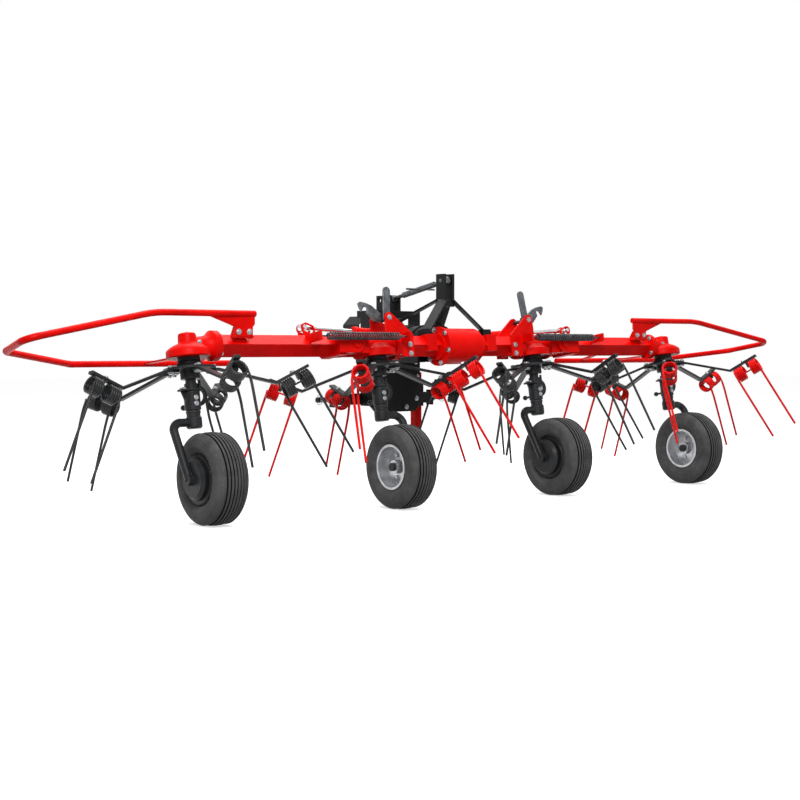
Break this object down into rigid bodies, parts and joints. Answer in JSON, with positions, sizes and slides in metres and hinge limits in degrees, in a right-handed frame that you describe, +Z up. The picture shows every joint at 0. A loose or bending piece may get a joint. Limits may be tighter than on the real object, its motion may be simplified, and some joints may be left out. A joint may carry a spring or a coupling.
{
  "type": "hay tedder",
  "caption": "Mounted hay tedder with a red beam, sprung tine rotors on bent arms, swivelling support wheels and outer wings that fold up",
  "frame": {"origin": "On the ground under the middle of the beam, halfway across the machine and halfway along it", "axes": "+X to the machine's right seen from behind, +Y towards the tractor, +Z up"},
  "size_m": [4.8126, 1.5492, 1.16],
  "materials": {
    "red_paint": "glossy red enamel",
    "black_paint": "satin black paint",
    "dark_paint": "dark grey paint",
    "black_plastic": "moulded, slightly shiny",
    "silver_paint": "silver wheel paint",
    "tyre_rubber": "ribbed tread, matt",
    "zinc_steel": "zinc plated",
    "rod_chrome": "polished rod"
  },
  "bodies": {
    "frame": {"center_frame": "red_paint", "gearbox_center": "red_paint", "gearbox_2": "red_paint", "gearbox_3": "red_paint", "column_2": "dark_paint", "column_3": "dark_paint", "latch_left": "zinc_steel", "latch_right": "zinc_steel", "tower": "black_paint", "headstock": "black_paint", "clevis": "black_paint", "hitch_bar": "black_paint", "top_strut": "zinc_steel", "hood": "black_plastic", "drive_tunnel": "black_plastic"},
    "wing_l": {"wing_left": "red_paint", "gearbox_1": "red_paint", "column_1": "dark_paint", "guard_top_left": "red_paint", "guard_low_left": "red_paint"},
    "wing_r": {"wing_right": "red_paint", "gearbox_4": "red_paint", "column_4": "dark_paint", "guard_top_right": "red_paint", "guard_low_right": "red_paint"},
    "leg": {"parking_leg": "red_paint"},
    "rotor_1": {"rotor_arms_1": "dark_paint", "tines_1": "black_paint"},
    "caster_1": {"crank_1": "dark_paint"},
    "wheel_1": {"rim_1": "silver_paint", "tyre_1": "tyre_rubber"},
    "rotor_2": {"rotor_arms_2": "dark_paint", "tines_2": "red_paint"},
    "caster_2": {"crank_2": "dark_paint"},
    "wheel_2": {"rim_2": "silver_paint", "tyre_2": "tyre_rubber"},
    "rotor_3": {"rotor_arms_3": "dark_paint", "tines_3": "black_paint"},
    "caster_3": {"crank_3": "dark_paint"},
    "wheel_3": {"rim_3": "silver_paint", "tyre_3": "tyre_rubber"},
    "rotor_4": {"rotor_arms_4": "dark_paint", "tines_4": "red_paint"},
    "caster_4": {"crank_4": "dark_paint"},
    "wheel_4": {"rim_4": "silver_paint", "tyre_4": "tyre_rubber"},
    "cylinder_r": {"barrel_right": "red_paint"},
    "ram_r": {"rod_right": "rod_chrome"},
    "balance_r": {"spring_right": "black_paint"},
    "cylinder_l": {"barrel_left": "red_paint"},
    "ram_l": {"rod_left": "rod_chrome"},
    "balance_l": {"spring_left": "black_paint"}
  },
  "joints": [
    {"name": "right_wing_fold", "type": "hinge", "parent": "frame", "child": "wing_r", "pos_m": [0.7, 0, 0.785], "axis": [0, -0.9877, 0.1564], "range_deg": [0, 90]},
    {"name": "left_wing_fold", "type": "hinge", "parent": "frame", "child": "wing_l", "pos_m": [-0.7, 0, 0.785], "axis": [0, 0.9877, -0.1564], "range_deg": [0, 90]},
    {"name": "rotor_1_spin", "type": "hinge", "parent": "wing_l", "child": "rotor_1", "pos_m": [-1.575, -0.01643, 0.68129], "axis": [0, 0.1564, 0.9877], "continuous": true},
    {"name": "wheel_1_swivel", "type": "hinge", "parent": "wing_l", "child": "caster_1", "pos_m": [-1.575, -0.05162, 0.45906], "axis": [0, 0.1564, 0.9877], "range_deg": [-18, 18]},
    {"name": "wheel_1_roll", "type": "hinge", "parent": "caster_1", "child": "wheel_1", "pos_m": [-1.575, -0.207, 0.205], "axis": [1, 0, 0], "continuous": true},
    {"name": "rotor_2_spin", "type": "hinge", "parent": "frame", "child": "rotor_2", "pos_m": [-0.525, -0.01643, 0.68129], "axis": [0, 0.1564, 0.9877], "continuous": true},
    {"name": "wheel_2_swivel", "type": "hinge", "parent": "frame", "child": "caster_2", "pos_m": [-0.525, -0.05162, 0.45906], "axis": [0, 0.1564, 0.9877], "range_deg": [-18, 18]},
    {"name": "wheel_2_roll", "type": "hinge", "parent": "caster_2", "child": "wheel_2", "pos_m": [-0.525, -0.207, 0.205], "axis": [1, 0, 0], "continuous": true},
    {"name": "rotor_3_spin", "type": "hinge", "parent": "frame", "child": "rotor_3", "pos_m": [0.525, -0.01643, 0.68129], "axis": [0, 0.1564, 0.9877], "continuous": true},
    {"name": "wheel_3_swivel", "type": "hinge", "parent": "frame", "child": "caster_3", "pos_m": [0.525, -0.05162, 0.45906], "axis": [0, 0.1564, 0.9877], "range_deg": [-18, 18]},
    {"name": "wheel_3_roll", "type": "hinge", "parent": "caster_3", "child": "wheel_3", "pos_m": [0.525, -0.207, 0.205], "axis": [1, 0, 0], "continuous": true},
    {"name": "rotor_4_spin", "type": "hinge", "parent": "wing_r", "child": "rotor_4", "pos_m": [1.575, -0.01643, 0.68129], "axis": [0, 0.1564, 0.9877], "continuous": true},
    {"name": "wheel_4_swivel", "type": "hinge", "parent": "wing_r", "child": "caster_4", "pos_m": [1.575, -0.05162, 0.45906], "axis": [0, 0.1564, 0.9877], "range_deg": [-18, 18]},
    {"name": "wheel_4_roll", "type": "hinge", "parent": "caster_4", "child": "wheel_4", "pos_m": [1.575, -0.207, 0.205], "axis": [1, 0, 0], "continuous": true},
    {"name": "right_cylinder_swing", "type": "hinge", "parent": "frame", "child": "cylinder_r", "pos_m": [0.285, 0.10182, 0.83975], "axis": [0, -0.9877, 0.1564], "range_deg": [0, 17.02]},
    {"name": "right_rod_slide", "type": "slide", "parent": "cylinder_r", "child": "ram_r", "axis": [-0.9983, -0.0091, -0.0575], "range_m": [0, 0.27038]},
    {"name": "right_spring_swing", "type": "hinge", "parent": "frame", "child": "balance_r", "pos_m": [0.416, -0.11383, 0.8334], "axis": [0, -0.9877, 0.1564], "range_deg": [0, 38.91], "deforming": ["spring_right"]},
    {"name": "left_cylinder_swing", "type": "hinge", "parent": "frame", "child": "cylinder_l", "pos_m": [-0.285, 0.10182, 0.83975], "axis": [0, 0.9877, -0.1564], "range_deg": [0, 17.02]},
    {"name": "left_rod_slide", "type": "slide", "parent": "cylinder_l", "child": "ram_l", "axis": [0.9983, -0.0091, -0.0575], "range_m": [0, 0.27038]},
    {"name": "left_spring_swing", "type": "hinge", "parent": "frame", "child": "balance_l", "pos_m": [-0.416, -0.11383, 0.8334], "axis": [0, 0.9877, -0.1564], "range_deg": [0, 38.91], "deforming": ["spring_left"]},
    {"name": "parking_leg_slide", "type": "slide", "parent": "frame", "child": "leg", "axis": [0, 0, 1], "range_m": [0, 0.3]}
  ],
  "couplings": [
    {"joint": "rotor_1_spin", "follows": "rotor_2_spin", "ratio": -1},
    {"joint": "rotor_3_spin", "follows": "rotor_2_spin", "ratio": -1},
    {"joint": "rotor_4_spin", "follows": "rotor_2_spin", "ratio": 1},
    {"joint": "right_cylinder_swing", "follows": "right_wing_fold", "ratio": 0.18905},
    {"joint": "right_rod_slide", "follows": "right_wing_fold", "m_per_rad": 0.17213},
    {"joint": "right_spring_swing", "follows": "right_wing_fold", "ratio": 0.4323},
    {"joint": "left_cylinder_swing", "follows": "left_wing_fold", "ratio": 0.18905},
    {"joint": "left_rod_slide", "follows": "left_wing_fold", "m_per_rad": 0.17213},
    {"joint": "left_spring_swing", "follows": "left_wing_fold", "ratio": 0.4323}
  ]
}
